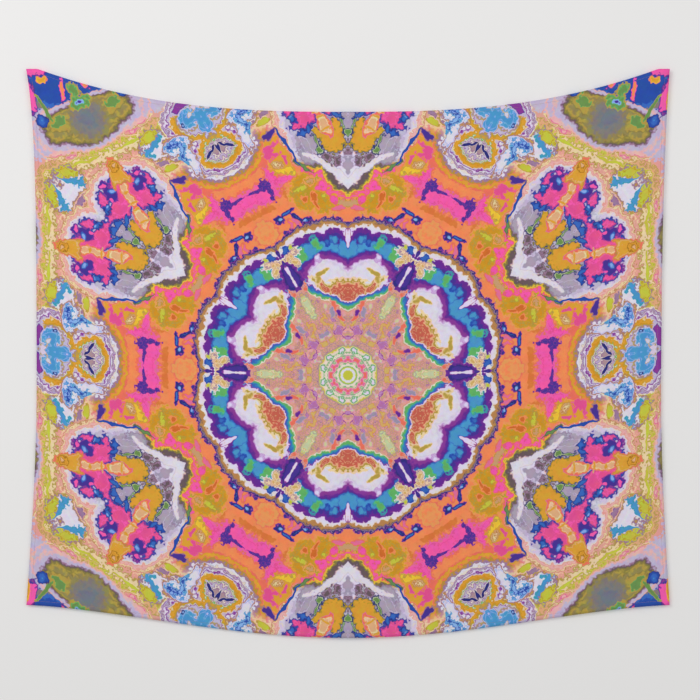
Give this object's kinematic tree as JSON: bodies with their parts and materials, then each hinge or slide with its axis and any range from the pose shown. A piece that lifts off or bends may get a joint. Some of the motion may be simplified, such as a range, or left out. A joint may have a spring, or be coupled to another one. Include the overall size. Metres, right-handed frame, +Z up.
{
  "type": "tapestry wall hanging",
  "caption": "Printed cloth wall hanging with stitched hems, hung by cord loops behind its top corners on small adhesive hooks.",
  "frame": {"origin": "on the wall, midway between the two hooks and level with the cords that lie in them", "axes": "+X to the right as seen from the front, +Y into the wall, so the printed face looks along -Y, +Z up"},
  "size_m": [1.5024, 0.0102, 1.3285],
  "materials": {
    "printed_cloth": "matte",
    "sewing_thread": "satin",
    "loop_cord": "matte",
    "hook_plastic": "gloss",
    "adhesive_foam": "matte",
    "label_satin": "satin"
  },
  "bodies": {
    "wall_hooks": {"left_wall_hook": "hook_plastic", "right_wall_hook": "hook_plastic", "left_adhesive_pad": "adhesive_foam", "right_adhesive_pad": "adhesive_foam"},
    "hanging_loops": {"left_hanging_loop": "loop_cord", "right_hanging_loop": "loop_cord"},
    "cloth": {"cloth_panel": "printed_cloth", "top_hem": "printed_cloth", "bottom_hem": "printed_cloth", "left_hem": "printed_cloth", "right_hem": "printed_cloth", "top_hem_seam": "sewing_thread", "bottom_hem_seam": "sewing_thread", "left_hem_seam": "sewing_thread", "right_hem_seam": "sewing_thread", "left_outer_bar_tack": "sewing_thread", "left_inner_bar_tack": "sewing_thread", "right_outer_bar_tack": "sewing_thread", "right_inner_bar_tack": "sewing_thread", "care_label": "label_satin"}
  },
  "joints": [
    {"name": "lift_off", "type": "slide", "parent": "wall_hooks", "child": "hanging_loops", "axis": [0, 0, 1], "range_m": [0, 0.008]},
    {"name": "swing", "type": "hinge", "parent": "hanging_loops", "child": "cloth", "pos_m": [0, -0.0041, 0], "axis": [-1, 0, 0], "range_deg": [0, 75]}
  ]
}
